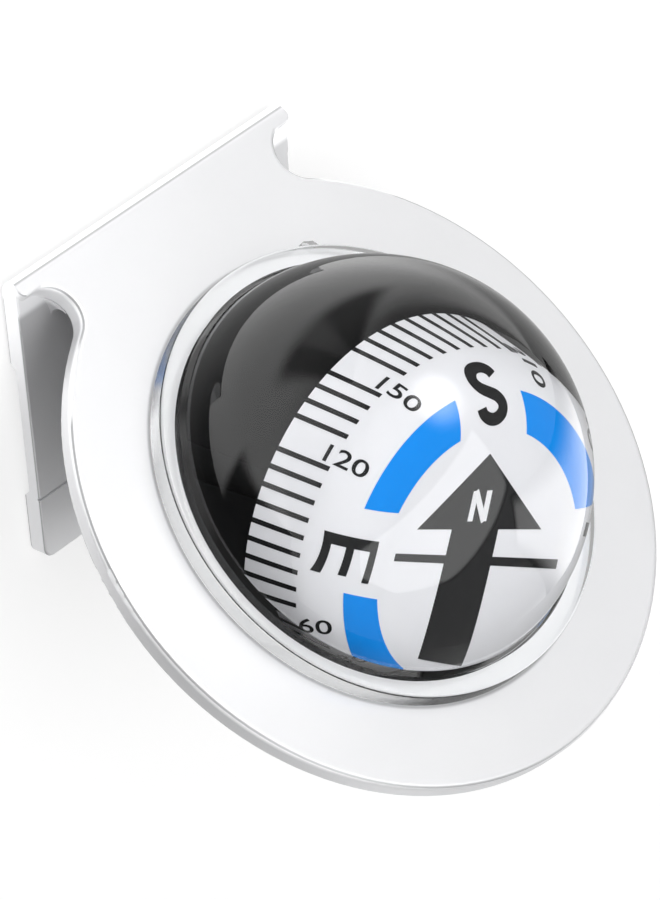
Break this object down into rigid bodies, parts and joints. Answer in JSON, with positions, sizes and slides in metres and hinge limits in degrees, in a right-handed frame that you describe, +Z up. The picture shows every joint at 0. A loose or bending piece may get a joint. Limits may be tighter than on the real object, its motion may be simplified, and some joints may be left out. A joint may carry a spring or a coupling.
{
  "type": "dashboard compass",
  "caption": "Liquid-filled ball compass with a floating dial, set in a round silver plate that folds under into a foot for the dashboard.",
  "frame": {"origin": "on the dashboard, straight below the ball's centre, which is also the middle of the whole object's footprint box", "axes": "+Z up from the dashboard, +Y the way the driver looks, so the fold and the clear dome face -Y, +X to the driver's right along the fold"},
  "size_m": [0.06, 0.0435, 0.0477],
  "materials": {
    "silver_plastic": "silver painted ABS, satin",
    "clear_plastic": "polished clear acrylic",
    "black_plastic": "black ABS, gloss inside",
    "black_rubber": "soft black rubber",
    "white_plastic": "white ABS with a printed scale",
    "brass": "turned brass",
    "hardened_steel": "ground steel",
    "jewel_glass": "polished synthetic jewel",
    "magnet_metal": "plain magnet steel"
  },
  "bodies": {
    "housing": {"bracket": "silver_plastic", "dome": "clear_plastic", "bowl": "black_plastic", "seal_ring": "black_rubber", "ring_nut": "black_plastic", "filler_screw": "brass", "filler_washer": "black_rubber", "pivot_post": "black_plastic", "pivot_pin": "hardened_steel"},
    "compass_card": {"jewel": "jewel_glass", "jewel_holder": "brass", "card": "white_plastic", "float_cup": "white_plastic", "float_lid": "white_plastic", "magnets": "magnet_metal", "magnet_carrier": "brass", "keeper": "brass", "balance_weight": "brass"}
  },
  "joints": [
    {"name": "card_turn", "type": "hinge", "parent": "housing", "child": "compass_card", "pos_m": [0, 0.0038, 0.0256], "axis": [0, 0, 1], "continuous": true}
  ]
}
